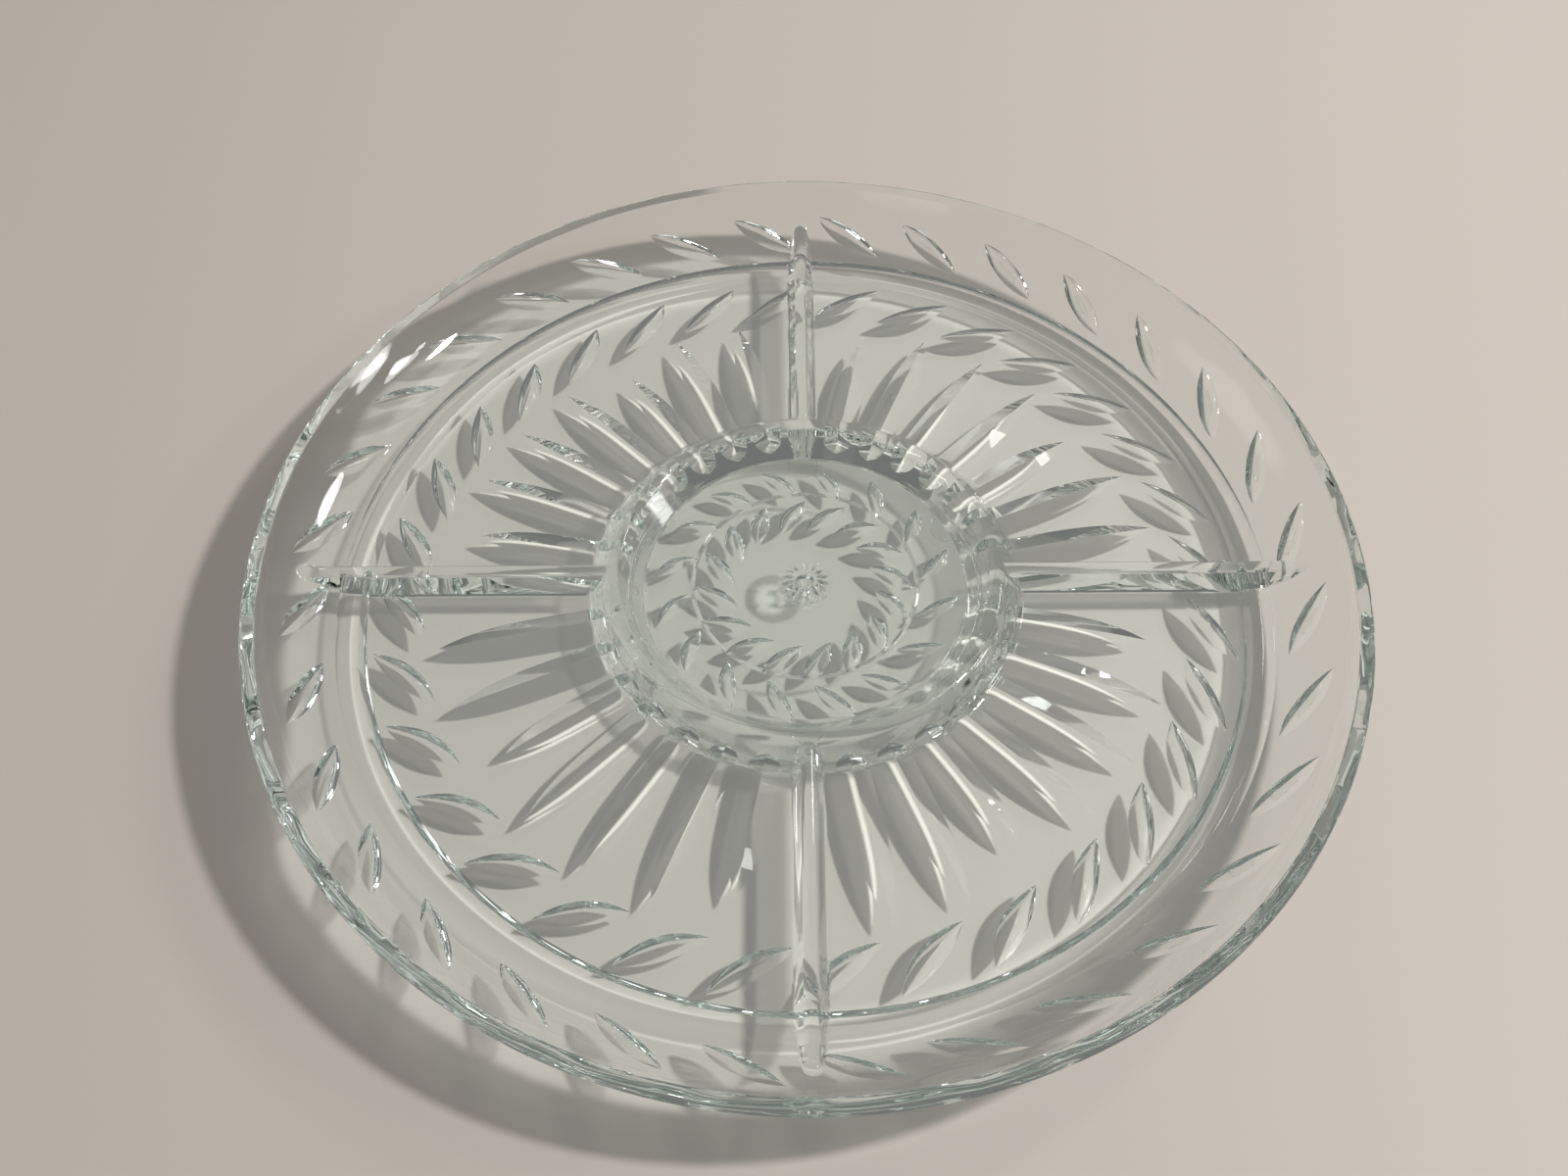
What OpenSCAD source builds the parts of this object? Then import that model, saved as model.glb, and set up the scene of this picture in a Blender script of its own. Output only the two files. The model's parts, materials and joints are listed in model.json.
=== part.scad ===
// A round clear-glass relish tray that turns on a low clear base.
// The glass is one pressed piece: a shallow bowl, a ring wall round a centre well and four dividers.
// Under the ring wall a carrier plate turns on a ring of balls, and the tray lifts off the carrier.
// The origin is on the turning axis, on the surface that the foot pads stand on. +Z is up.

/* [Tray] */
// Outside diameter of the rim
tray_d = 330; // [290:1:360]
// Height of the rim above the standing surface
rim_z = 28; // [26:0.5:34]
// Thickness of the glass floor
floor_t = 4.2; // [3.6:0.1:5]
// Width of the flat polished edge at the rim
rim_land = 4.5; // [3.5:0.1:5.5]
// Height of the dividers and of the ring wall above the floor
divider_h = 7.9; // [6:0.1:10]
// Width of a divider where it meets the floor
divider_w = 8.8; // [7:0.1:11]
// Radius of the rounded top of a divider
divider_top_r = 2.5; // [1.5:0.1:3]
// Number of compartments round the well
compartments = 4; // [3:1:6]

/* [Well] */
// Radius of the ring wall at the middle of its top
well_r = 58; // [54:0.5:62]
// Half the width of the ring wall where it meets the floor
well_half_w = 8; // [7:0.1:9]
// Radius of the rounded top of the ring wall
well_top_r = 3.4; // [2:0.1:4]
// Radius of the fluted boss in the middle of the well
boss_r = 8.5; // [7.5:0.1:9.5]
// Height of the fluted boss above the floor
boss_h = 2.0; // [1.6:0.1:2.6]

/* [Channel under the glass] */
// Radius of the middle of the moulded channel where the wall starts to rise
channel_r = 139; // [136:0.1:141]
// Radius of the channel's rounded section
channel_round_r = 6.6; // [6:0.1:7.5]
// Height of the top of the channel above the flat underside
channel_h = 3.4; // [2.4:0.1:3.6]

/* [Turntable] */
// Radius of the base plate and of the carrier plate
plate_r = 62; // [61:0.5:64]
// Thickness of the base plate and of the carrier plate
plate_t = 1.6; // [1.4:0.1:1.8]
// Radius of the circle that the balls run on
race_r = 57; // [56:0.5:58]
// Diameter of a ball
ball_d = 3; // [2.8:0.1:3.2]
// Number of balls
ball_count = 16; // [8:1:20]
// Gap between the two plates
plate_gap = 2; // [1.8:0.1:2.2]
// Width of the ball cage
cage_w = 7; // [6:0.1:8]
// Thickness of the ball cage
cage_t = 1; // [0.8:0.1:1.2]
// Clearance round a ball in its pocket and in its races
ball_clearance = 0.1; // [0.05:0.01:0.15]

/* [Pivot] */
// Radius of the pivot pin
pin_r = 1.5; // [1.2:0.1:1.8]
// Radial running clearance between the pin and its bush
pin_clearance = 0.05; // [0.02:0.01:0.08]
// Outside radius of the bush
bush_r = 3.1; // [2.6:0.1:3.4]
// Radial clearance between the bush and the socket in the glass
socket_clearance = 0.1; // [0.05:0.01:0.2]

/* [Pads] */
// Number of foot pads
foot_count = 6; // [3:1:8]
// Radius of a foot pad
foot_r = 5; // [4:0.1:6]
// Height of a foot pad
foot_h = 1.2; // [1:0.1:1.5]
// Radius of the circle that the foot pads stand on
foot_circle_r = 52; // [40:0.5:54]
// Number of grip pads between the carrier and the glass
grip_count = 4; // [3:1:8]
// Radius of a grip pad
grip_r = 4; // [3:0.1:5]
// Thickness of a grip pad
grip_t = 0.4; // [0.3:0.1:0.6]

/* [Hidden] */
$fn = 96;

// Heights, from the standing surface up
foot_recess = 0.4;
base_z0 = foot_h - foot_recess;
base_z1 = base_z0 + plate_t;
carrier_z0 = base_z1 + plate_gap;
carrier_z1 = carrier_z0 + plate_t;
tray_z0 = carrier_z1 + grip_t;
floor_z = tray_z0 + floor_t;
ball_z = (base_z1 + carrier_z0) / 2;

// The wall of the bowl is an arc that starts level with the floor and ends at the rim.
// wall_turn is the angle through which the inner face turns on its way up.
wall_turn = 58.1;
rim_r = tray_d / 2;
rim_in_r = rim_r - rim_land;
wall_in_r = (rim_z - floor_z) / (1 - cos(wall_turn));
wall_centre_r = rim_in_r - wall_in_r * sin(wall_turn);
wall_centre_z = floor_z + wall_in_r;
wall_out_r = wall_centre_z - tray_z0;
wall_out_turn = asin((rim_r - wall_centre_r) / wall_out_r);
wall_steps = 18;
rim_round = 0.8;
boss_top_r = 4.2;

// The pivot
pin_head_r = 4;
pin_head_t = 0.8;
pin_boss_r = 4.6;
pin_boss_h = 1.2;
bush_flange_r = 5;
bush_flange_t = 0.5;
bush_z1 = tray_z0 + 1;
clip_z0 = bush_z1 + 0.2;
clip_t = 0.6;
clip_r = 2.8;
pin_z1 = clip_z0 + clip_t + 0.8;
socket_z1 = pin_z1 + 0.6;
plate_edge = 0.5;
cut = 1;

clear_glass = [0.84, 0.90, 0.87, 0.45];
clear_plastic = [0.90, 0.93, 0.92, 0.45];
clear_rubber = [0.88, 0.90, 0.88, 0.60];

// Points of an arc in a section, from angle a0 to angle a1
function arc(c, r, a0, a1, n) =
    [for (i = [0 : n]) c + r * [cos(a0 + (a1 - a0) * i / n), sin(a0 + (a1 - a0) * i / n)]];

// Section of a rounded ridge that stands on the floor, with its middle at x = 0
function ridge(half_w, top_r, h) =
    let (
        rise = h - top_r,
        lean = atan2(half_w, rise) - asin(top_r / norm([half_w, rise])),
        a = 90 - lean
    )
    concat(
        [[half_w, -cut], [half_w, 0]],
        arc([0, rise], top_r, 90 - a, 90 + a, 12),
        [[-half_w, 0], [-half_w, -cut]]
    );

// Section of the bowl: the inner face, the rim's edge, then the outer face and the flat underside
function bowl_section() = concat(
    [[0, floor_z]],
    arc([wall_centre_r, wall_centre_z], wall_in_r, -90, -90 + wall_turn, wall_steps),
    [[rim_r - rim_round, rim_z], [rim_r, rim_z - rim_round]],
    arc([wall_centre_r, wall_centre_z], wall_out_r, -90 + wall_out_turn, -90, wall_steps),
    [[0, tray_z0]]
);

// A flat disc with its outer edge broken top and bottom
module plate(r, z0, z1) {
    rotate_extrude()
        polygon([
            [0, z0],
            [r - plate_edge, z0],
            [r, z0 + plate_edge],
            [r, z1 - plate_edge],
            [r - plate_edge, z1],
            [0, z1]
        ]);
}

// The groove that the balls run in, as a ring to take away
module race() {
    rotate_extrude()
        translate([race_r, ball_z])
            circle(r = ball_d / 2 + ball_clearance, $fn = 48);
}

// Everything inside the middle of the glass wall, which ends the dividers at the sloped wall
module inside_of_bowl() {
    mid_r = (wall_in_r + wall_out_r) / 2;
    rotate_extrude()
        polygon(concat(
            [[0, rim_z], [0, wall_centre_z - mid_r]],
            arc([wall_centre_r, wall_centre_z], mid_r, -90, -90 + wall_turn, wall_steps),
            [[wall_centre_r, rim_z]]
        ));
}

module divider() {
    rotate([90, 0, 90])
        translate([0, floor_z, well_r])
            linear_extrude(rim_in_r - well_r)
                polygon(ridge(divider_w / 2, divider_top_r, divider_h));
}

module ring_wall() {
    rotate_extrude()
        translate([well_r, floor_z])
            polygon(ridge(well_half_w, well_top_r, divider_h));
}

// The moulded channel under the glass, as a ring to take away
module channel() {
    rotate_extrude()
        translate([channel_r, tray_z0 + channel_h - channel_round_r])
            circle(r = channel_round_r);
}

// The fluted boss in the middle of the well, as a plain low cone with a flat top
module boss() {
    rotate_extrude()
        polygon([
            [0, floor_z - cut],
            [boss_r, floor_z - cut],
            [boss_r, floor_z],
            [boss_top_r, floor_z + boss_h],
            [0, floor_z + boss_h]
        ]);
}

// The pressed-glass tray, with the channel and the blind socket for the bush in its underside
module glass_tray() {
    color(clear_glass)
        difference() {
            union() {
                rotate_extrude()
                    polygon(bowl_section());
                ring_wall();
                boss();
                intersection() {
                    for (i = [0 : compartments - 1])
                        rotate(i * 360 / compartments)
                            divider();
                    inside_of_bowl();
                }
            }
            channel();
            translate([0, 0, tray_z0 - cut])
                cylinder(r = bush_r + socket_clearance, h = socket_z1 - tray_z0 + cut);
        }
}

// The plate that the glass rests on. It turns with the glass, and has the upper race under it
module carrier_plate() {
    color(clear_plastic)
        difference() {
            plate(plate_r, carrier_z0, carrier_z1);
            race();
            translate([0, 0, carrier_z0 - cut])
                cylinder(r = bush_r, h = plate_t + 2 * cut);
        }
}

// A flanged bush, pressed up into the carrier plate. It turns on the pin and centres the glass
module pivot_bush() {
    color(clear_plastic)
        difference() {
            union() {
                translate([0, 0, carrier_z0 - bush_flange_t])
                    cylinder(r = bush_flange_r, h = bush_flange_t);
                translate([0, 0, carrier_z0])
                    cylinder(r = bush_r, h = bush_z1 - carrier_z0);
            }
            translate([0, 0, carrier_z0 - cut])
                cylinder(r = pin_r + pin_clearance, h = bush_z1 - carrier_z0 + 2 * cut);
        }
}

// One of the soft pads between the carrier and the glass, midway between two dividers
module grip_pad(i) {
    color(clear_rubber)
        rotate((i - 0.5) * 360 / grip_count)
            translate([race_r, 0, carrier_z1])
                cylinder(r = grip_r, h = grip_t);
}

// The flat ring that keeps the balls apart
module ball_cage() {
    color(clear_plastic)
        difference() {
            translate([0, 0, ball_z - cage_t / 2])
                rotate_extrude()
                    translate([race_r - cage_w / 2, 0])
                        square([cage_w, cage_t]);
            for (i = [1 : ball_count])
                rotate(i * 360 / ball_count)
                    translate([race_r, 0, ball_z - cage_t])
                        cylinder(r = ball_d / 2 + ball_clearance, h = 2 * cage_t);
        }
}

module ball(i) {
    color(clear_glass)
        rotate(i * 360 / ball_count)
            translate([race_r, 0, ball_z])
                sphere(d = ball_d, $fn = 48);
}

// The plate that stands on the pads, with the lower race in it and a boss round the pin
module base_plate() {
    color(clear_plastic)
        difference() {
            union() {
                plate(plate_r, base_z0, base_z1);
                translate([0, 0, base_z0])
                    cylinder(r = pin_boss_r, h = plate_t + pin_boss_h);
            }
            race();
            translate([0, 0, -cut])
                cylinder(r = pin_head_r, h = base_z0 + pin_head_t + cut);
            cylinder(r = pin_r, h = base_z1 + pin_boss_h + cut);
            for (i = [1 : foot_count])
                foot_place(i)
                    translate([0, 0, -cut])
                        cylinder(r = foot_r, h = foot_h + cut);
        }
}

module foot_place(i) {
    rotate((i - 0.5) * 360 / foot_count)
        translate([foot_circle_r, 0, 0])
            children();
}

// One of the soft pads that the turntable stands on, let into the base plate
module foot_pad(i) {
    color(clear_rubber)
        foot_place(i)
            cylinder(r = foot_r, h = foot_h);
}

// The headed pin, pressed into the base plate from below
module pivot_pin() {
    color(clear_plastic)
        union() {
            translate([0, 0, base_z0])
                cylinder(r = pin_head_r, h = pin_head_t);
            translate([0, 0, base_z0 + pin_head_t])
                cylinder(r = pin_r, h = pin_z1 - base_z0 - pin_head_t);
        }
}

// The ring pressed on the top of the pin, which keeps the carrier on the base
module retaining_clip() {
    color(clear_plastic)
        translate([0, 0, clip_z0])
            difference() {
                cylinder(r = clip_r, h = clip_t);
                translate([0, 0, -cut])
                    cylinder(r = pin_r, h = clip_t + 2 * cut);
            }
}

glass_tray();
carrier_plate();
pivot_bush();
for (i = [1 : grip_count])
    grip_pad(i);
ball_cage();
for (i = [1 : ball_count])
    ball(i);
base_plate();
pivot_pin();
retaining_clip();
for (i = [1 : foot_count])
    foot_pad(i);
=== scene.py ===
import json
import math

import bmesh
import bpy
import numpy as np
from mathutils import Matrix, Vector


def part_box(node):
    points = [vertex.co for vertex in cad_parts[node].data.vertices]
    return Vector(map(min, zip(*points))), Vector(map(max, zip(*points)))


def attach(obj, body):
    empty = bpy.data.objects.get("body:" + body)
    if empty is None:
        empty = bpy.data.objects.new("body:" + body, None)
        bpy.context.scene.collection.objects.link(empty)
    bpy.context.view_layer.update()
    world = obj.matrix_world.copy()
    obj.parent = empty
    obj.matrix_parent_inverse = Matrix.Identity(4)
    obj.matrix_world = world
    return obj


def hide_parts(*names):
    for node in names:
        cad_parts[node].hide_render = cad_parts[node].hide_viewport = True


# A clear pressed-glass relish tray on a low clear turntable. Lengths are in metres, in the frame of the CAD
# model. The tray's inner face is a height field and the rest of it is turned. Its petals and leaves are then
# cut into the underside as grooves, the way a cutter's wheel makes them.

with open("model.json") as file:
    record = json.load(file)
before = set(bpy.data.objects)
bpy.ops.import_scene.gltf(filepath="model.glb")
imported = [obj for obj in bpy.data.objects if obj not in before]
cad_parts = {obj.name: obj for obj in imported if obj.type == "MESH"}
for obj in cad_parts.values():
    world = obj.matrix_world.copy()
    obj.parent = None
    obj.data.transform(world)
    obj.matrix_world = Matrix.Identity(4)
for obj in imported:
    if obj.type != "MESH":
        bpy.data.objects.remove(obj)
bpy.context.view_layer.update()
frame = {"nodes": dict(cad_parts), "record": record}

MM = 0.001

# ---------------------------------------------------------------------------------------------------------
# Sizes taken from the frame

tray_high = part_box("glass_tray")[1]

RIM_R = tray_high.x
RIM_Z = tray_high.z
UNDER_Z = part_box("grip_pad_1")[1].z
PIN_TOP_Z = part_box("pivot_pin")[1].z

# ---------------------------------------------------------------------------------------------------------
# Sizes of the glass that the frame doesn't give by itself

# The decoration repeats PITCHES times round the tray, and the dividers part it into QUARTERS
PITCHES = 32
PITCH = 360 / PITCHES
QUARTERS = 4
QUARTER = 2 * math.pi / QUARTERS

# The wall is an arc that leaves the floor level and has turned by WALL_TURN where it meets the rim's land
FLOOR_T = 4.2 * MM
FLOOR_Z = UNDER_Z + FLOOR_T
RIM_LAND = 4.5 * MM
RIM_ROUND = 0.5 * MM
RIM_CROWN = 0.02 * MM
WALL_TURN = math.radians(58.1)
WALL_IN_R = (RIM_Z - FLOOR_Z) / (1 - math.cos(WALL_TURN))
WALL_C_R = RIM_R - RIM_LAND - WALL_IN_R * math.sin(WALL_TURN)
WALL_C_Z = FLOOR_Z + WALL_IN_R
WALL_OUT_R = WALL_C_Z - UNDER_Z
WALL_OUT_TURN = math.asin((RIM_R - WALL_C_R) / WALL_OUT_R)

# The outer face swells by WALL_BULGE at the share BULGE_AT of its turn
WALL_BULGE = 0.3 * MM
BULGE_AT = 0.62

# The waves of the wall: how many go round it, their share of WALL_WAVE and their phase
WALL_WAVE = 0.13 * MM
WAVES = [(PITCHES, 1.0, 1.0), (2 * PITCHES, 0.4, 0.4), (5, 0.5, 0.0)]
WAVES_START = (FLOOR_Z + 4 * MM, FLOOR_Z + 14 * MM)
WAVES_END = (RIM_Z - 3 * MM, RIM_Z - 0.5 * MM)

# The ring wall round the well and the four dividers are ridges of the same height. A divider ends in the ring
# wall: inside DIVIDER_END_R it drops by DIVIDER_END_DROP times the square of the distance, in metres
CREST = 7.9 * MM
WELL_R = 58 * MM
WELL_HALF_W = 8 * MM
WELL_TOP_R = 3.4 * MM
WELL_FILLET = 0.6 * MM
DIVIDER_HALF_W = 4.4 * MM
DIVIDER_TOP_R = 2.5 * MM
DIVIDER_END_R = WELL_R + 4 * MM
DIVIDER_END_DROP = 300
FILLET = 1.6 * MM

# The boss in the middle of the well. The radii of its top, dish and flutes are shares of BOSS_R, and the
# depths of its dish and flutes are shares of BOSS_H
BOSS_R = 8.5 * MM
BOSS_H = 2.0 * MM
BOSS_TOP_R = 0.48
BOSS_DISH_R = 0.42
BOSS_DISH_DEPTH = 0.45
FLUTES = 16
FLUTE_DEPTH = 0.75
FLUTE_START = (0.38, 0.53)
FLUTE_END = (1.02, 0.82)

# Radius, depth and half width of the thin lines in the well's floor
WELL_LINES = [(34.3 * MM, 0.75 * MM, 0.7 * MM), (49.2 * MM, 0.8 * MM, 0.95 * MM)]

# The moulded channel under the start of the wall, and the socket under the boss, whose top is a little higher
# than the pin's
CHANNEL_R = 138.0 * MM
CHANNEL_HALF_W = 4.6 * MM
CHANNEL_DEPTH = 1.8 * MM
CHANNEL_INNER_W = 2.5 * MM
CHANNEL_OUTER_W = 4.4 * MM
SOCKET_R = 3.2 * MM
SOCKET_ROOM = 0.6 * MM
SOCKET_Z = PIN_TOP_Z + SOCKET_ROOM


def ramp(x, low, high):
    """Goes straight from 0 at low to 1 at high, and stays level outside them."""
    return np.clip((x - low) / (high - low), 0, 1)


def soft_step(x, low, high):
    """Goes smoothly from 0 at low to 1 at high, and stays level outside them."""
    t = ramp(x, low, high)
    return t * t * (3 - 2 * t)


# ---------------------------------------------------------------------------------------------------------
# The faces of the tray

def bowl_height(r):
    """Height of the floor and of the inner face of the wall at radius r."""
    run = np.clip(r - WALL_C_R, 0, WALL_IN_R)
    return WALL_C_Z - np.sqrt(WALL_IN_R**2 - run**2)


def outer_radius(turn):
    """Radius of the section of the wall's outer face, at this turn from the level underside."""
    share = np.clip(turn / WALL_OUT_TURN, 0, 1)
    below = np.sin(share / BULGE_AT * math.pi / 2) ** 2
    above = np.cos((share - BULGE_AT) / (1 - BULGE_AT) * math.pi / 2)
    return WALL_OUT_R + WALL_BULGE * np.where(share < BULGE_AT, below, above)


def on_outer_face(turn, depth):
    """Radius and height of the point at this turn of the wall's section, this deep under its outer face."""
    radius = float(outer_radius(turn)) - depth
    return WALL_C_R + radius * math.sin(turn), WALL_C_Z - radius * math.cos(turn)


def wall_waves(theta, z):
    """The slight waves that pressing leaves in the upper wall, at this angle and height."""
    fade = soft_step(z, *WAVES_START) * (1 - soft_step(z, *WAVES_END))
    return WALL_WAVE * fade * sum(share * np.cos(count * theta + phase) for count, share, phase in WAVES)


def ridge_height(offset, half_w, top_r, height):
    """Height of a rounded ridge above its foot, this far from its middle. It goes on down past its foot."""
    s = np.abs(offset)
    rise = height - top_r
    lean = math.atan2(half_w, rise) - math.asin(top_r / math.hypot(half_w, rise))
    shoulder = top_r * math.cos(lean)
    slope = (rise + top_r * math.sin(lean)) / (half_w - shoulder)
    round_top = rise + np.sqrt(np.maximum(top_r**2 - s**2, 0))
    return np.where(s < shoulder, round_top, slope * (half_w - s))


def divider_height(r, theta):
    """Height of the dividers above the floor. Each one drops away where it has run into the ring wall."""
    turn = (theta + QUARTER / 2) % QUARTER - QUARTER / 2
    along, across = r * np.cos(turn), r * np.sin(turn)
    drop = np.maximum(DIVIDER_END_R - along, 0) ** 2 * DIVIDER_END_DROP
    return ridge_height(across, DIVIDER_HALF_W, DIVIDER_TOP_R, CREST) - drop


def boss_height(r, theta):
    """Height of the boss above the floor of the well: a rounded flank with flutes in it, and a dished top."""
    share = r / BOSS_R
    flank = ramp(share, 1, BOSS_TOP_R) ** 0.7
    dish = BOSS_DISH_DEPTH * ramp(share, BOSS_DISH_R, 0) ** 0.5
    flute = 1 - np.abs(np.cos(FLUTES / 2 * theta))
    scoop = FLUTE_DEPTH * flute * ramp(share, *FLUTE_START) * ramp(share, *FLUTE_END)
    return BOSS_H * (flank - dish - scoop)


def smooth_max(a, b, blend):
    """The larger of two heights, with a fillet where they cross."""
    return np.maximum(a, b) + np.maximum(blend - np.abs(a - b), 0) ** 2 / (4 * blend)


def inner_face(r, theta):
    """Height of the inner face: floor, wall, ring wall, dividers, boss and the thin lines in the well."""
    z = bowl_height(r)
    ring_wall = FLOOR_Z + ridge_height(r - WELL_R, WELL_HALF_W, WELL_TOP_R, CREST)
    z = smooth_max(z, ring_wall, np.where(r < WELL_R, WELL_FILLET, FILLET))
    z = smooth_max(z, FLOOR_Z + divider_height(r, theta), FILLET)
    z = np.where(r < BOSS_R, np.maximum(z, FLOOR_Z + boss_height(r, theta)), z)
    for line_r, depth, half_w in WELL_LINES:
        z = z - depth * np.maximum(1 - np.abs(r - line_r) / half_w, 0)
    return z


# ---------------------------------------------------------------------------------------------------------
# The uncut tray. Its mesh is made of rings, and each ring has the same number of spokes.

# Spokes beside each divider, on each side of its middle, and the ones from there to the next divider
FINE_LINES = 16
FINE_STEP = 0.42 * MM
WIDE_LINES = 58

# Where the rings of the inner face stop and how many there are up to there, closest at the boss, at the lines
# in the well and on the ring wall
FIRST_RING_R = 0.7 * MM
INNER_RINGS = [
    (BOSS_R + 0.3 * MM, 26),
    (33.6 * MM, 8),
    (35.0 * MM, 4),
    (48.3 * MM, 4),
    (50.1 * MM, 6),
    (WELL_R + WELL_HALF_W + 2 * MM, 44),
    (WALL_C_R, 18),
    (RIM_R - RIM_LAND, 54),
]
OUTER_WALL_RINGS = 34
CHANNEL_RINGS = 37
UNDERSIDE_RINGS = (WALL_C_R, 96 * MM, 64 * MM, 30 * MM)


def spread(first, stops):
    """Values from first to each stop in turn, where stops lists (stop, number of steps up to it) pairs."""
    values = [first]
    for end, steps in stops:
        values += [values[-1] + (end - values[-1]) * (k + 1) / steps for k in range(steps)]
    return np.array(values)


def spokes(r):
    """Angles of the mesh's spokes at radius r. Beside a divider they run parallel to it, close together."""
    reach = np.arange(-FINE_LINES, FINE_LINES + 1) * FINE_STEP
    fine = np.arcsin(reach / max(r, WELL_R - WELL_HALF_W))
    wide = fine[-1] + (QUARTER - 2 * fine[-1]) * np.arange(1, WIDE_LINES) / WIDE_LINES
    one = np.concatenate([fine, wide])
    return np.concatenate([one + k * QUARTER for k in range(QUARTERS)])


def rim_section():
    """The rim, from the inner face over the polished land, which is slightly crowned, to the outer face."""
    inner = RIM_R - RIM_LAND
    return [
        (inner + 0.35 * RIM_ROUND, RIM_Z - 0.3 * RIM_ROUND),
        (inner + RIM_ROUND, RIM_Z - RIM_CROWN),
        (inner + RIM_LAND / 2, RIM_Z),
        (RIM_R - 1.6 * RIM_ROUND, RIM_Z - RIM_CROWN),
        (RIM_R - 0.7 * RIM_ROUND, RIM_Z - 0.35 * RIM_ROUND),
        (RIM_R - 0.15 * RIM_ROUND, RIM_Z - RIM_ROUND),
    ]


def channel_turn(side):
    """Turn of the wall's section at this side of the moulded channel, from -1 inside to 1 outside."""
    return math.asin((CHANNEL_R + side * CHANNEL_HALF_W - WALL_C_R) / WALL_OUT_R)


def channel_depth(side):
    """Depth of the moulded channel: a steep inner side, a flat bottom and a longer, gentler outer side."""
    inner = min((1 + side) * CHANNEL_HALF_W / CHANNEL_INNER_W, 1)
    outer = min((1 - side) * CHANNEL_HALF_W / CHANNEL_OUTER_W, 1)
    round_inner, round_outer = 1 - (1 - inner) ** 2, 1 - (1 - outer) ** 2
    return CHANNEL_DEPTH * (0.7 * inner + 0.3 * round_inner) * (0.35 * outer + 0.65 * round_outer)


def under_section():
    """The outer face of the wall, the channel, the flat underside and the socket, from the rim inwards."""
    wall_turns = np.linspace(WALL_OUT_TURN, channel_turn(1), OUTER_WALL_RINGS)[:-1]
    points = [on_outer_face(turn, 0) for turn in wall_turns]
    points += [on_outer_face(channel_turn(s), channel_depth(s)) for s in np.linspace(1, -1, CHANNEL_RINGS)]
    points += [(r, UNDER_Z) for r in UNDERSIDE_RINGS]
    return points + [(SOCKET_R, UNDER_Z), (SOCKET_R, SOCKET_Z)]


def tray_rings():
    """Radius, angle and height of the mesh's points, with a row for each ring, from the boss over the rim to
    the socket. The waves move both faces of the wall."""
    rings = []
    for r in spread(FIRST_RING_R, INNER_RINGS):
        t = spokes(r)
        rings.append((np.full_like(t, r), t, inner_face(r + wall_waves(t, bowl_height(r)), t)))
    for r, z in rim_section() + under_section():
        t = spokes(r)
        rings.append((r - wall_waves(t, z), t, np.full_like(t, z)))
    return (np.array(column) for column in zip(*rings))


def uncut_tray():
    """Vertices and faces of the closed tray before its decoration is cut."""
    r, t, z = tray_rings()
    n_rings, n = r.shape
    points = np.stack([r * np.cos(t), r * np.sin(t), z], 2).reshape(-1, 3)
    boss_middle = float(inner_face(np.array([0.0]), np.array([0.0]))[0])
    verts = np.vstack([points, [[0, 0, boss_middle], [0, 0, SOCKET_Z]]])
    k = np.arange(n)
    following = (k + 1) % n
    faces = []
    for i in range(n_rings - 1):
        a, b = i * n, (i + 1) * n
        faces += np.stack([a + k, b + k, b + following, a + following], 1).tolist()
    top, under = n_rings * n, n_rings * n + 1
    last = (n_rings - 1) * n
    pairs = list(zip(k.tolist(), following.tolist()))
    faces += [(top, i, j) for i, j in pairs]
    faces += [(under, last + j, last + i) for i, j in pairs]
    return verts, faces


# ---------------------------------------------------------------------------------------------------------
# The cut decoration. A groove is a row of sections, with their bottoms in the glass and their edges outside.

GROOVE_STEPS = 26
OUTSIDE = 0.1 * MM

# Kinds of surface, as material numbers while the grooves are cut
UNCUT, CUT, CUT_TO_LAMP = 0, 1, 2

# Sections of a groove as (side, rise) pairs: a mitre with two flat sides, and a hollow with a rounded bottom.
# LIT_STRIP is the share of a mitre's side, next to its edge, that counts as CUT_TO_LAMP if it faces the lamp,
# where the lamp's share paints a bright line
LIT_STRIP = 0.25
HOLLOW_POINTS = 23
MITRE = [(1, 0), (1 - LIT_STRIP, LIT_STRIP), (0, 1), (LIT_STRIP - 1, LIT_STRIP), (-1, 0)]
HOLLOW = [(s, 1 - abs(s) ** 1.4) for s in np.linspace(1, -1, HOLLOW_POINTS)]

# Direction of the lamp in the pattern's plane, and how much a groove's side has to face it
LAMP_SIDE = (0.95, 0.25)
FACES_LAMP = 0.15


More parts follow.
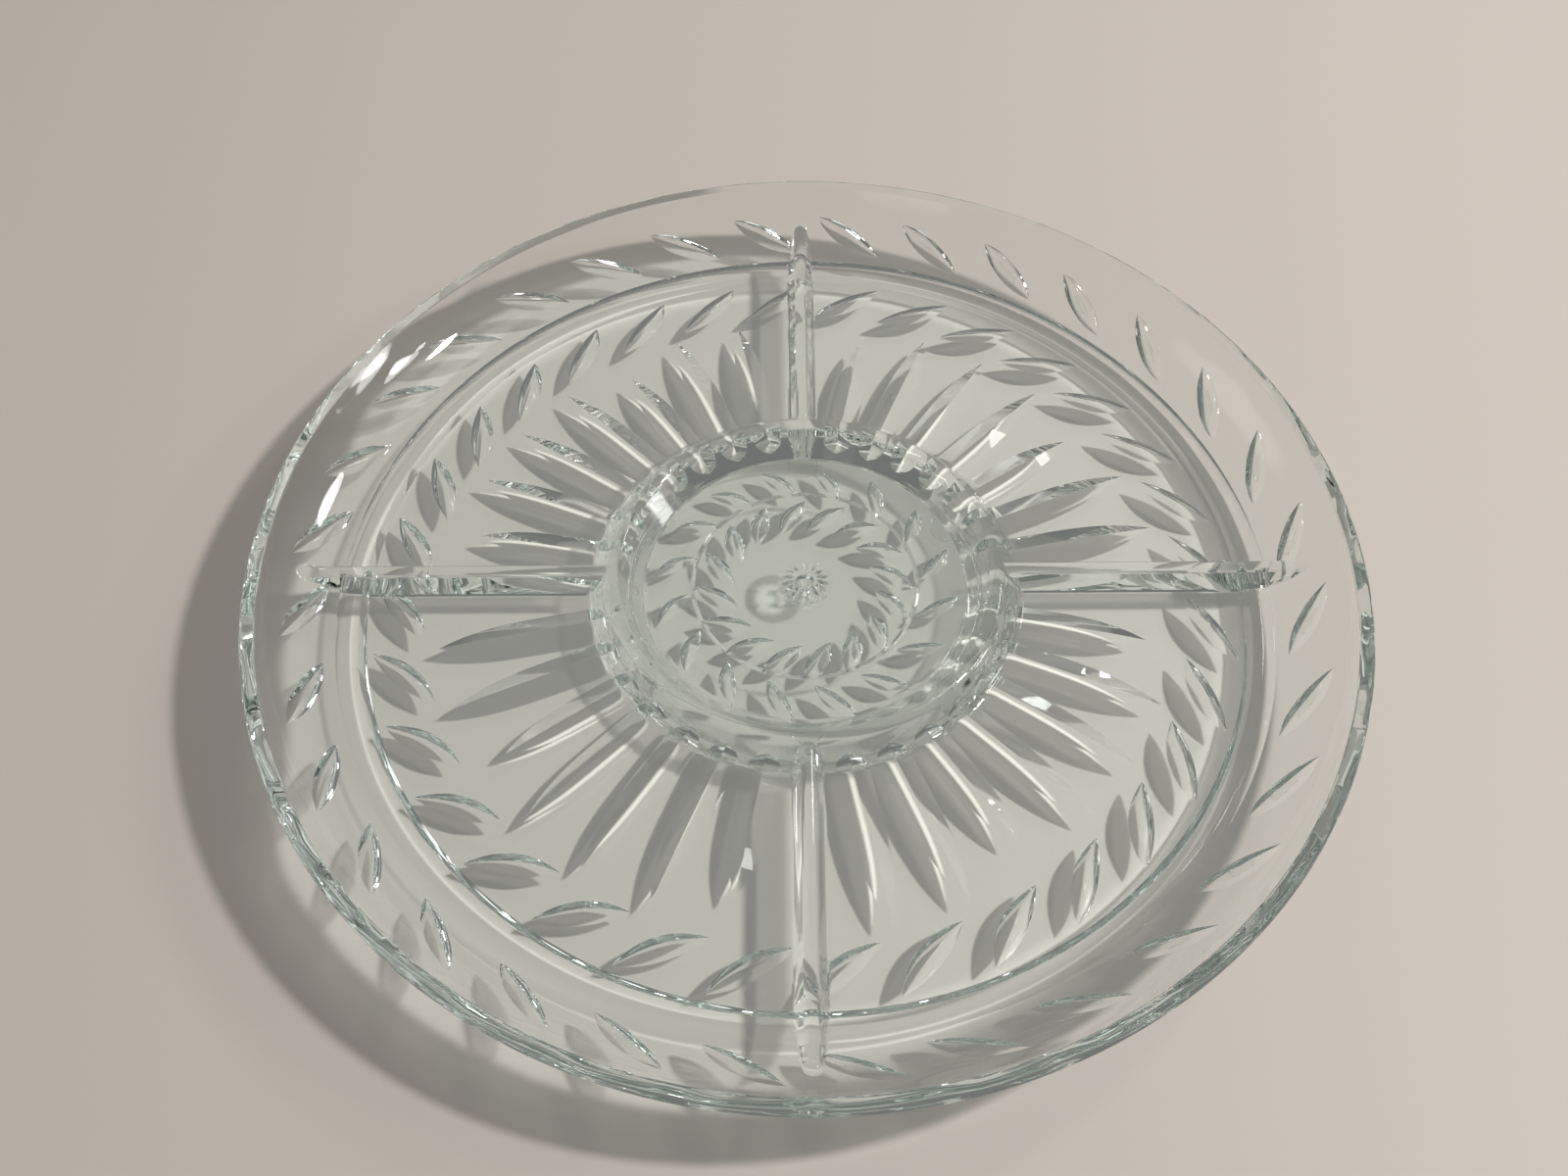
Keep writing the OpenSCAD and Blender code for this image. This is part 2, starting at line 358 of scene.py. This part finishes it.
def groove(place, start, end, section, depth, widths, bulge=0.0, powers=(2.0, 2.0), widest=0.5, lit=None):
    """Vertices, faces and material numbers of one groove.

    place(p, q, h) puts a point of the flat pattern on the glass, a depth of h into it. start and end are the
    pattern's (p, q) at the two tips. section lists (side, rise) pairs across the groove, from its left edge,
    1, to its right edge, -1, and from its edges, 0, to its bottom, 1. widths are how far it reaches to the
    left and to the right where it is widest. bulge bends it to the left. powers above 2 make the two ends
    blunter, and widest is where along the groove it is deepest. lit is the pattern's direction to the lamp.
    """
    start, end = Vector(start), Vector(end)
    run = end - start
    left = Vector((-run.y, run.x)).normalized()
    verts, faces, kinds = [], [], []
    over = OUTSIDE / depth
    first = -((1 + over) ** (1 / powers[0]))
    last = (1 + over) ** (1 / powers[1])
    for k in range(GROOVE_STEPS + 1):
        u = first + (last - first) * k / GROOVE_STEPS
        if u < 0:
            u = first * (u / first) ** (2 / powers[0])
        full = 1 - abs(u) ** (powers[0] if u < 0 else powers[1])
        along = widest + u * (widest if u < 0 else 1 - widest)
        middle = start + run * along + left * bulge * (1 - (2 * along - 1) ** 2)
        reach = max(full + over, 0)
        for side, rise in section:
            p = middle + left * side * reach * widths[0 if side > 0 else 1]
            verts.append(place(p.x, p.y, rise * (depth * full + OUTSIDE) - OUTSIDE))
    toward = left.dot(Vector(lit)) if lit else 0
    n = len(section)
    for k in range(GROOVE_STEPS):
        a, b = n * k, n * (k + 1)
        for i in range(n):
            j = (i + 1) % n
            faces.append((a + i, a + j, b + j, b + i))
            to_lamp = (i == 0 and toward > FACES_LAMP) or (i == n - 2 and toward < -FACES_LAMP)
            kinds.append(CUT_TO_LAMP if to_lamp else CUT)
    faces.append(tuple(reversed(range(n))))
    faces.append(tuple(n * GROOVE_STEPS + i for i in range(n)))
    kinds += [CUT, CUT]
    return verts, faces, kinds


def on_floor(x, y, h):
    """The flat underside: the pattern's plane is the underside itself."""
    return (x, y, UNDER_Z + h)


def turn_at(r):
    """Turn of the wall's section where its outer face, without the bulge, is at radius r."""
    return math.asin((r - WALL_C_R) / WALL_OUT_R)


def on_wall(angle, foot_r):
    """The outer face of the wall: p runs round the tray and q up the wall, from this angle and radius."""

    def place(p, q, h):
        r, z = on_outer_face(turn_at(foot_r) + q / WALL_OUT_R, h)
        a = angle + p / foot_r
        return (r * math.cos(a), r * math.sin(a), z)

    return place


def polar(r, degrees):
    a = math.radians(degrees)
    return (r * math.cos(a), r * math.sin(a))


def petal(k):
    """A petal: a straight mitre groove with a blunt root under the ring wall and a pointed tip. Every fourth
    one is shorter."""
    root_r, tip_r = 56.5 * MM, (104 if k % 4 == 3 else 112) * MM
    root, tip = polar(root_r, k * PITCH), polar(tip_r, k * PITCH)
    return groove(
        on_floor,
        root,
        tip,
        MITRE,
        depth=1.7 * MM,
        widths=(5 * MM, 5 * MM),
        powers=(8, 3),
        widest=0.35,
        lit=LAMP_SIDE,
    )


def floor_leaf(k):
    """A leaf that hangs from the moulded channel."""
    stem, tip = polar(131.8 * MM, k * PITCH - 1), polar(116 * MM, k * PITCH + 9.3)
    widths = (3.6 * MM, 3.4 * MM)
    return groove(on_floor, stem, tip, HOLLOW, depth=2.1 * MM, widths=widths, bulge=0.8 * MM)


def wall_leaf(k):
    """A leaf that climbs the outer face of the wall."""
    foot_r, tip_r, lean = 145.9 * MM, 157.3 * MM, math.radians(8.7)
    place = on_wall(math.radians(k * PITCH + 0.1), foot_r)
    tip = (lean * foot_r, (turn_at(tip_r) - turn_at(foot_r)) * WALL_OUT_R)
    widths = (3.5 * MM, 3.1 * MM)
    shape = dict(depth=2.2 * MM, widths=widths, bulge=-0.8 * MM, powers=(2.4, 2.4))
    return groove(place, (0, 0), tip, HOLLOW, **shape)


def inner_well_leaf(k):
    """A leaf of the wreath in the well, on the inner side of its line."""
    stem, tip = polar(33.4 * MM, k * 2 * PITCH - 1), polar(21.6 * MM, k * 2 * PITCH + 20)
    widths = (3.0 * MM, 2.9 * MM)
    return groove(on_floor, stem, tip, HOLLOW, depth=1.8 * MM, widths=widths, bulge=-0.5 * MM)


def outer_well_leaf(k):
    """A leaf of the wreath in the well, on the outer side of its line."""
    stem, tip = polar(35.6 * MM, k * 2 * PITCH + 4), polar(46.8 * MM, k * 2 * PITCH + 17.5)
    widths = (2.5 * MM, 2.5 * MM)
    return groove(on_floor, stem, tip, HOLLOW, depth=1.6 * MM, widths=widths, bulge=-0.8 * MM)


def decoration():
    """Every groove in one mesh: petals except under the dividers, the leaves, and the wreath in the well."""
    grooves = [petal(k) for k in range(PITCHES) if k % (PITCHES // QUARTERS)]
    grooves += [floor_leaf(k) for k in range(PITCHES)]
    grooves += [wall_leaf(k) for k in range(PITCHES)]
    for k in range(PITCHES // 2):
        grooves += [inner_well_leaf(k), outer_well_leaf(k)]
    verts, faces, kinds = [], [], []
    for groove_verts, groove_faces, groove_kinds in grooves:
        base = len(verts)
        verts += groove_verts
        faces += [tuple(base + i for i in face) for face in groove_faces]
        kinds += groove_kinds
    return verts, faces, kinds


# ---------------------------------------------------------------------------------------------------------
# The lamp's share: how much of a lamp's light each part of the tray lets straight through, set by place and
# by kind of surface rather than traced through the glass, so it paints the shadows and bright lines that the
# tray casts. 1 is clear glass, less is painted shade, and more than 1 is a painted bright line where the
# glass gathers light.

LEAST_SHARE = 0.05

# Painted shade cast by the ridges: what they hold back, from the height above the floor where that starts to
# where it is full
DIVIDER_SHADE = 0.6
RING_WALL_SHADE = 0.42
RIDGE_SHADE_START = (0.3 * MM, 1.2 * MM)

# The share of the boss's flank, a painted shade, and what its middle adds, a painted bright spot
BOSS_SHARE = 0.5
BOSS_GLOW = 0.9
BOSS_GLOW_START = (BOSS_R * 0.75, BOSS_R * 0.75 - 2 * MM)

# The share of the channel, and what the painted bright line near each of its edges adds
CHANNEL_SHARE = 0.82
CHANNEL_GLOW = 1.3
GLOW_SIDE, GLOW_W = 0.93, 0.09

# What the upper wall holds back, a painted shade, and the height where that starts. It starts higher by
# RIM_SHADE_RISE on the near and far sides of the tray: ALONG_Y is where that rise begins and ends, as y's
# share of the radius
RIM_SHADE = 0.95
RIM_SHADE_Z = 14 * MM
RIM_SHADE_RISE = 5 * MM
RIM_SHADE_STEP = 2 * MM
ALONG_Y = (0.3, 0.6)

# The shares of the grooves: painted shadow in the underside and in the wall, and a painted bright line on the
# strips that face the lamp
CUT_SHARE = 0.2
CUT_WALL_SHARE = 0.5
CUT_WALL_Z = UNDER_Z + 2.5 * MM
LAMP_SIDE_SHARE = 2.4


def lamp_share(co, normal):
    """The lamp's share at each point of the uncut surface, which has these places and normals: painted shade
    and painted bright spots, set by place.
    """
    r = np.hypot(co[:, 0], co[:, 1])
    z = co[:, 2]
    inside = normal[:, 2] > 0
    raised = soft_step(z - bowl_height(r), *RIDGE_SHADE_START) * inside * (r > BOSS_R)
    share = 1.0 - raised * np.where(np.abs(r - WELL_R) < WELL_HALF_W, RING_WALL_SHADE, DIVIDER_SHADE)
    boss = BOSS_SHARE + BOSS_GLOW * soft_step(r, *BOSS_GLOW_START)
    share = np.where((r < BOSS_R) & inside, boss, share)
    side = np.abs((r - CHANNEL_R) / CHANNEL_HALF_W)
    glow = CHANNEL_GLOW * np.exp(-(((side - GLOW_SIDE) / GLOW_W) ** 2))
    share = np.where((side < 1) & ~inside, CHANNEL_SHARE + glow, share)
    along_y = soft_step(np.abs(co[:, 1]) / np.maximum(r, MM), *ALONG_Y)
    dark_z = RIM_SHADE_Z + RIM_SHADE_RISE * along_y
    share -= RIM_SHADE * soft_step(z, dark_z, dark_z + RIM_SHADE_STEP) * (r > WALL_C_R)
    return np.maximum(share, LEAST_SHARE)


def read(collection, name, kind, width=1):
    """One property of every item of a mesh's collection, as an array."""
    values = np.empty(len(collection) * width, kind)
    collection.foreach_get(name, values)
    return values.reshape(-1, width) if width > 1 else values


def store_lamp_share(mesh):
    """Writes lamp_share at each face corner, by the place or by the kind of its face, and drops the kinds."""
    co = read(mesh.vertices, "co", float, 3)
    share = lamp_share(co, read(mesh.vertices, "normal", float, 3))
    kind = np.repeat(read(mesh.polygons, "material_index", int), read(mesh.polygons, "loop_total", int))
    at = read(mesh.loops, "vertex_index", int)
    cut = np.where(co[at, 2] > CUT_WALL_Z, CUT_WALL_SHARE, CUT_SHARE)
    corner = np.where(kind == CUT, cut, np.where(kind == CUT_TO_LAMP, LAMP_SIDE_SHARE, share[at]))
    mesh.attributes.new("lamp_share", "FLOAT", "CORNER").data.foreach_set("value", corner)
    mesh.polygons.foreach_set("material_index", np.zeros(len(mesh.polygons), int))
    mesh.materials.clear()
    mesh.materials.append(glass)


# ---------------------------------------------------------------------------------------------------------
# Making meshes

# Edges of the tray that bend by more than this are shaded sharp
TRAY_CREASE = math.radians(11)


def mesh_object(name, verts, faces):
    """A new object in the scene with this mesh."""
    mesh = bpy.data.meshes.new(name)
    mesh.from_pydata([tuple(v) for v in verts], [], [tuple(f) for f in faces])
    mesh.validate()
    mesh.update()
    obj = bpy.data.objects.new(name, mesh)
    bpy.context.scene.collection.objects.link(obj)
    return obj


def recalculate(obj):
    """Turns all normals outwards."""
    bm = bmesh.new()
    bm.from_mesh(obj.data)
    bmesh.ops.recalc_face_normals(bm, faces=bm.faces)
    bm.to_mesh(obj.data)
    bm.free()


def apply_modifiers(obj):
    """Replaces the object's mesh with the modified one, shaded smooth."""
    graph = bpy.context.evaluated_depsgraph_get()
    mesh = bpy.data.meshes.new_from_object(obj.evaluated_get(graph))
    obj.modifiers.clear()
    obj.data = mesh
    for poly in mesh.polygons:
        poly.use_smooth = True


def glass_tray():
    """The tray with its decoration cut out of it."""
    tray = mesh_object("pressed_glass_tray", *uncut_tray())
    verts, faces, kinds = decoration()
    cutter = mesh_object("grooves", verts, faces)
    cutter.data.polygons.foreach_set("material_index", kinds)
    for obj in (tray, cutter):
        for kind in (UNCUT, CUT, CUT_TO_LAMP):
            obj.data.materials.append(glass)
        recalculate(obj)
    boolean = tray.modifiers.new("cut", "BOOLEAN")
    boolean.operation = "DIFFERENCE"
    boolean.solver = "MANIFOLD"
    boolean.object = cutter
    apply_modifiers(tray)
    bpy.data.objects.remove(cutter)
    tray.data.set_sharp_from_angle(angle=TRAY_CREASE)
    store_lamp_share(tray.data)
    return tray


# ---------------------------------------------------------------------------------------------------------
# Materials

# The part of a noise's range that a surface's roughness is spread over
NOISE_LOW, NOISE_HIGH = 0.35, 0.7

# Where a surface counts as seen at a low angle by the lamp's light, and the share of that light that passes
# there, a painted shade
LOW_ANGLE_START, LOW_ANGLE_FULL = 0.33, 0.46
LOW_ANGLE_SHARE = 0.4
# LAMP_TINT paints the lamp's light under the tray a little brighter and greener; CLEAR is what the
# turntable's clear pieces let through
LAMP_TINT = (1.065, 1.105, 1.11)
CLEAR = (0.99, 0.99, 0.99)


def surface_detail(nt, shader, ripple, roughness):
    """Fine detail of a moulded surface: shallow ripples, and a roughness that varies a little from place to
    place. ripple is their size and height, and roughness its lowest and highest value."""
    size, height = ripple
    where = nt.nodes.new("ShaderNodeTexCoord")
    waves = nt.nodes.new("ShaderNodeTexNoise")
    waves.inputs["Scale"].default_value = 1 / size
    waves.inputs["Detail"].default_value = 1.0
    bump = nt.nodes.new("ShaderNodeBump")
    bump.inputs["Strength"].default_value = 1.0
    bump.inputs["Distance"].default_value = height
    patches = nt.nodes.new("ShaderNodeTexNoise")
    patches.inputs["Scale"].default_value = 3 / size
    patches.inputs["Detail"].default_value = 4.0
    roughness_range = nt.nodes.new("ShaderNodeMapRange")
    roughness_range.inputs["From Min"].default_value = NOISE_LOW
    roughness_range.inputs["From Max"].default_value = NOISE_HIGH
    roughness_range.inputs["To Min"].default_value = roughness[0]
    roughness_range.inputs["To Max"].default_value = roughness[1]
    link = nt.links.new
    link(where.outputs["Object"], waves.inputs["Vector"])
    link(where.outputs["Object"], patches.inputs["Vector"])
    link(waves.outputs["Fac"], bump.inputs["Height"])
    link(bump.outputs["Normal"], shader.inputs["Normal"])
    link(patches.outputs["Fac"], roughness_range.inputs["Value"])
    link(roughness_range.outputs["Result"], shader.inputs["Roughness"])


def lamp_share_nodes(nt, socket):
    """The lamp's share stored in the mesh, less where the light meets the surface at a low angle."""
    share = nt.nodes.new("ShaderNodeAttribute")
    share.attribute_name = "lamp_share"
    facing = nt.nodes.new("ShaderNodeLayerWeight")
    facing.inputs["Blend"].default_value = 0.5
    low_angle = nt.nodes.new("ShaderNodeMapRange")
    low_angle.interpolation_type = "SMOOTHSTEP"
    low_angle.inputs["From Min"].default_value = LOW_ANGLE_START
    low_angle.inputs["From Max"].default_value = LOW_ANGLE_FULL
    low_angle.inputs["To Min"].default_value = 1.0
    low_angle.inputs["To Max"].default_value = LOW_ANGLE_SHARE
    times = nt.nodes.new("ShaderNodeMath")
    times.operation = "MULTIPLY"
    tinted = nt.nodes.new("ShaderNodeVectorMath")
    tinted.operation = "SCALE"
    tinted.inputs[0].default_value = LAMP_TINT
    nt.links.new(facing.outputs["Facing"], low_angle.inputs["Value"])
    nt.links.new(share.outputs["Fac"], times.inputs[0])
    nt.links.new(low_angle.outputs[0], times.inputs[1])
    nt.links.new(times.outputs[0], tinted.inputs["Scale"])
    nt.links.new(tinted.outputs[0], socket)


def clear_material(name, colour, ior, ripple, roughness, lamp=CLEAR, room=CLEAR):
    """A clear solid. The camera and mirror rays see real glass. Light from lamps and from matt surfaces goes
    straight through: lamp and room are how much of it passes. Without lamp, the mesh's lamp_share is used."""
    m = bpy.data.materials.new(name)
    m.use_nodes = True
    nt = m.node_tree
    nodes, link = nt.nodes, nt.links.new
    shader = nodes["Principled BSDF"]
    shader.inputs["Base Color"].default_value = (*colour, 1)
    shader.inputs["IOR"].default_value = ior
    shader.inputs["Transmission Weight"].default_value = 1.0
    surface_detail(nt, shader, ripple, roughness)
    path = nodes.new("ShaderNodeLightPath")
    lamp_light = nodes.new("ShaderNodeBsdfTransparent")
    if lamp:
        lamp_light.inputs[0].default_value = (*lamp, 1)
    else:
        lamp_share_nodes(nt, lamp_light.inputs[0])
    room_light = nodes.new("ShaderNodeBsdfTransparent")
    room_light.inputs[0].default_value = (*room, 1)
    for_room = nodes.new("ShaderNodeMixShader")
    link(path.outputs["Is Diffuse Ray"], for_room.inputs[0])
    link(shader.outputs[0], for_room.inputs[1])
    link(room_light.outputs[0], for_room.inputs[2])
    for_lamp = nodes.new("ShaderNodeMixShader")
    link(path.outputs["Is Shadow Ray"], for_lamp.inputs[0])
    link(for_room.outputs[0], for_lamp.inputs[1])
    link(lamp_light.outputs[0], for_lamp.inputs[2])
    link(for_lamp.outputs[0], nodes["Material Output"].inputs["Surface"])
    return m


def green_inside(material, colour, density):
    """The faint green of a thick stretch of glass."""
    nt = material.node_tree
    volume = nt.nodes.new("ShaderNodeVolumeAbsorption")
    volume.inputs["Color"].default_value = (*colour, 1)
    volume.inputs["Density"].default_value = density
    nt.links.new(volume.outputs[0], nt.nodes["Material Output"].inputs["Volume"])


def pressed_glass():
    m = clear_material(
        "pressed_glass",
        colour=(0.97, 0.99, 0.98),
        ior=1.5,
        ripple=(16 * MM, 0.02 * MM),
        roughness=(0.0, 0.004),
        lamp=None,
        # The room's light under the tray, painted a little brighter and greener
        room=(0.99, 1.035, 1.04),
    )
    green_inside(m, colour=(0.52, 0.86, 0.72), density=2.0)
    return m


def clear_ball_glass():
    ripple, roughness = (0.6 * MM, 0.002 * MM), (0.0, 0.02)
    return clear_material("ball_glass", (0.97, 0.985, 0.98), ior=1.3, ripple=ripple, roughness=roughness)


def clear_plastic(name, ripple_size):
    ripple = (ripple_size, 0.006 * MM)
    return clear_material(name, colour=(0.975, 0.985, 0.98), ior=1.2, ripple=ripple, roughness=(0.01, 0.04))


def clear_rubber(name):
    ripple = (0.8 * MM, 0.01 * MM)
    return clear_material(name, colour=(0.95, 0.96, 0.95), ior=1.15, ripple=ripple, roughness=(0.08, 0.2))


glass = pressed_glass()
ball_glass = clear_ball_glass()

# ---------------------------------------------------------------------------------------------------------
# The tray

tray = glass_tray()
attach(tray, "tray")
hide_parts("glass_tray")

# ---------------------------------------------------------------------------------------------------------
# The turntable under the tray

# Width of the eased edges, and how far each piece is drawn in so that it shares no face with a neighbour
EASE = 0.12 * MM
HAIRLINE = 0.05 * MM

# Points closer than SAME_POINT are one. Faces that bend by less than FLAT_BEND are joined, edges that bend by
# more than SHARP_BEND are eased, and those that then bend by more than CREASE_BEND are shaded sharp
SAME_POINT = 0.001 * MM
FLAT_BEND = math.radians(0.5)
SHARP_BEND = math.radians(35)
CREASE_BEND = math.radians(30)

# Slot and material of each kind of piece that is made here. The balls stay as the CAD has them
FINISHES = {
    "carrier_plate": ("carrier_clear", clear_plastic("carrier_plastic", 9 * MM)),
    "pivot_bush": ("bush_clear", clear_plastic("bush_plastic", 2 * MM)),
    "ball_cage": ("cage_clear", clear_plastic("cage_plastic", 4 * MM)),
    "base_plate": ("base_clear", clear_plastic("base_plastic", 9 * MM)),
    "pivot_pin": ("pin_clear", clear_plastic("pin_plastic", 1.5 * MM)),
    "retaining_clip": ("clip_clear", clear_plastic("clip_plastic", 1.5 * MM)),
    "grip_pad": ("grip_rubber", clear_rubber("grip_rubber")),
    "foot_pad": ("foot_rubber", clear_rubber("foot_rubber")),
}


def eased_copy(node):
    """A new object with the node's mesh, its sharp edges eased and the whole drawn in by a hairline."""
    bm = bmesh.new()
    bm.from_mesh(node.data)
    bmesh.ops.remove_doubles(bm, verts=bm.verts, dist=SAME_POINT)
    bmesh.ops.dissolve_limit(bm, angle_limit=FLAT_BEND, verts=bm.verts, edges=bm.edges)
    sharp = [e for e in bm.edges if len(e.link_faces) == 2 and e.calc_face_angle() > SHARP_BEND]
    bmesh.ops.bevel(
        bm, geom=sharp, offset=EASE, segments=2, profile=0.5, affect="EDGES", clamp_overlap=True
    )
    bm.normal_update()
    moves = [(v, v.normal * HAIRLINE) for v in bm.verts]
    for v, move in moves:
        v.co -= move
    for f in bm.faces:
        f.smooth = True
    mesh = bpy.data.meshes.new(node.name + "_eased")
    bm.to_mesh(mesh)
    bm.free()
    mesh.set_sharp_from_angle(angle=CREASE_BEND)
    obj = bpy.data.objects.new(node.name + "_eased", mesh)
    bpy.context.scene.collection.objects.link(obj)
    return obj


def turntable_piece(name, node, body):
    """The visual piece for one node under the tray. A ball keeps its CAD mesh and gets its glass."""
    kind = name.rstrip("_0123456789")
    if kind == "ball":
        node.data.materials.clear()
        node.data.materials.append(ball_glass)
        return
    slot, material = FINISHES[kind]
    piece = eased_copy(node)
    piece.data.materials.append(material)
    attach(piece, body)
    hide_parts(name)


body_of = {n: body for body, names in frame["record"]["behaviour"]["bodies"].items() for n in names}
for name, node in frame["nodes"].items():
    if name != "glass_tray":
        turntable_piece(name, node, body_of[name])

# ---------------------------------------------------------------------------------------------------------
# Floor

FLOOR_REACH = 3.0
FLOOR_GAP = 0.02 * MM


def floor_sheet():
    """A plain pale floor, a hair below the feet."""
    signs = ((-1, -1), (1, -1), (1, 1), (-1, 1))
    corners = [(x * FLOOR_REACH, y * FLOOR_REACH, -FLOOR_GAP) for x, y in signs]
    obj = mesh_object("stage_floor", corners, [(0, 1, 2, 3)])
    m = bpy.data.materials.new("stage_floor")
    m.use_nodes = True
    shader = m.node_tree.nodes["Principled BSDF"]
    shader.inputs["Base Color"].default_value = (0.73, 0.665, 0.61, 1)
    shader.inputs["Roughness"].default_value = 0.55
    obj.data.materials.append(m)


floor_sheet()

# ---------------------------------------------------------------------------------------------------------
# Lamps

WARM = (1.0, 0.98, 0.96)
WARMER = (1.0, 0.97, 0.94)


def around(azimuth, elevation, distance):
    """A point at this azimuth and elevation, in degrees, and at this distance from the origin."""
    a, e = math.radians(azimuth), math.radians(elevation)
    return Vector((math.cos(e) * math.cos(a), math.cos(e) * math.sin(a), math.sin(e))) * distance


def lamp(name, place, size, power, colour, aim=(0, 0, 0)):
    """A round area lamp that points from place to aim."""
    data = bpy.data.lights.new(name, "AREA")
    data.shape = "DISK"
    data.size = size
    data.energy = power
    data.color = colour
    obj = bpy.data.objects.new(name, data)
    bpy.context.scene.collection.objects.link(obj)
    obj.location = place
    obj.rotation_euler = (Vector(aim) - Vector(place)).to_track_quat("-Z", "Y").to_euler()
    return obj


lamp("key", around(2, 48, 2.1), size=0.165, power=21.3, colour=WARMER)
lamp("second_lamp", around(2, 34, 2.0), size=0.26, power=2.4, colour=WARM)
lamp("third_lamp", around(35, 39, 2.0), size=0.26, power=2.4, colour=WARM)
fill = lamp("fill", around(95, 45, 1.0), size=1.0, power=0.7, colour=WARM, aim=(0, 0.1, 0))
fill.visible_glossy = False
fill.visible_transmission = False

# ---------------------------------------------------------------------------------------------------------
# The room. Matt surfaces and the camera have even light, and glass has a dim room with soft bright panels.

ROOM_LEVEL = 0.27
ROOM_COLOUR = (1.0, 0.98, 0.96, 1)
PANEL_COLOUR = (0.98, 1.0, 0.95, 1)

# Azimuth, elevation, brightness and half angle of each panel. The first one is the dim room itself
PANELS = [
    (0, 90, 0.17, 178),
    (0, 14, 12, 6),
    (170, 35, 0.7, 14),
    (75, 30, 0.6, 10),
    (20, 60, 1.2, 10),
    (250, 25, 0.5, 10),
]
PANEL_FULL = 0.6


def soft_panel(nt, directions, azimuth, elevation, level, half_angle):
    """Brightness of one panel in each direction. It's full up to PANEL_FULL of its half angle."""
    towards = nt.nodes.new("ShaderNodeVectorMath")
    towards.operation = "DOT_PRODUCT"
    towards.inputs[1].default_value = around(azimuth, elevation, 1)
    nt.links.new(directions, towards.inputs[0])
    soft = nt.nodes.new("ShaderNodeMapRange")
    soft.interpolation_type = "SMOOTHSTEP"
    soft.inputs["From Min"].default_value = math.cos(math.radians(half_angle))
    soft.inputs["From Max"].default_value = math.cos(math.radians(half_angle * PANEL_FULL))
    soft.inputs["To Min"].default_value = 0.0
    soft.inputs["To Max"].default_value = level
    nt.links.new(towards.outputs["Value"], soft.inputs["Value"])
    return soft.outputs[0]


def math_node(nt, operation, a, b):
    """The result of a math operation on two values."""
    node = nt.nodes.new("ShaderNodeMath")
    node.operation = operation
    nt.links.new(a, node.inputs[0])
    nt.links.new(b, node.inputs[1])
    return node.outputs[0]


def studio():
    """The world around the tray."""
    world = bpy.data.worlds.new("studio")
    world.use_nodes = True
    world.cycles.sampling_method = "NONE"
    nt = world.node_tree
    room = nt.nodes["Background"]
    room.inputs["Color"].default_value = ROOM_COLOUR
    room.inputs["Strength"].default_value = ROOM_LEVEL
    directions = nt.nodes.new("ShaderNodeTexCoord").outputs["Generated"]
    panels = [soft_panel(nt, directions, *panel) for panel in PANELS]
    total = panels[0]
    for panel in panels[1:]:
        total = math_node(nt, "ADD", total, panel)
    seen_in_glass = nt.nodes.new("ShaderNodeBackground")
    seen_in_glass.inputs["Color"].default_value = PANEL_COLOUR
    nt.links.new(total, seen_in_glass.inputs["Strength"])
    path = nt.nodes.new("ShaderNodeLightPath")
    even = math_node(nt, "MAXIMUM", path.outputs["Is Diffuse Ray"], path.outputs["Is Camera Ray"])
    mix = nt.nodes.new("ShaderNodeMixShader")
    nt.links.new(even, mix.inputs[0])
    nt.links.new(seen_in_glass.outputs[0], mix.inputs[1])
    nt.links.new(room.outputs[0], mix.inputs[2])
    nt.links.new(mix.outputs[0], nt.nodes["World Output"].inputs["Surface"])
    bpy.context.scene.world = world


studio()

cycles = bpy.context.scene.cycles
cycles.max_bounces = 32
cycles.transmission_bounces = 32
cycles.glossy_bounces = 24
cycles.transparent_max_bounces = 48
bpy.context.scene.view_settings.view_transform = "Standard"

# ---------------------------------------------------------------------------------------------------------
# Camera

VIEW_DOWN = math.radians(55.01)
VIEW_ROLL = math.radians(-0.35)
CAMERA_PLACE = (-6.4 * MM, -262.8 * MM, RIM_Z + 355.0 * MM)
SENSOR_W = 36
FOCAL_LENGTH = 34.155


def view_camera():
    """The camera, which looks down at the tray from its near side and is slightly rolled."""
    data = bpy.data.cameras.new("camera")
    data.sensor_width = SENSOR_W
    data.lens = FOCAL_LENGTH
    camera = bpy.data.objects.new("camera", data)
    bpy.context.scene.collection.objects.link(camera)
    camera.location = CAMERA_PLACE
    tilt, roll = Matrix.Rotation(math.pi / 2 - VIEW_DOWN, 4, "X"), Matrix.Rotation(VIEW_ROLL, 4, "Z")
    camera.rotation_euler = (tilt @ roll).to_euler()
    bpy.context.scene.camera = camera


view_camera()
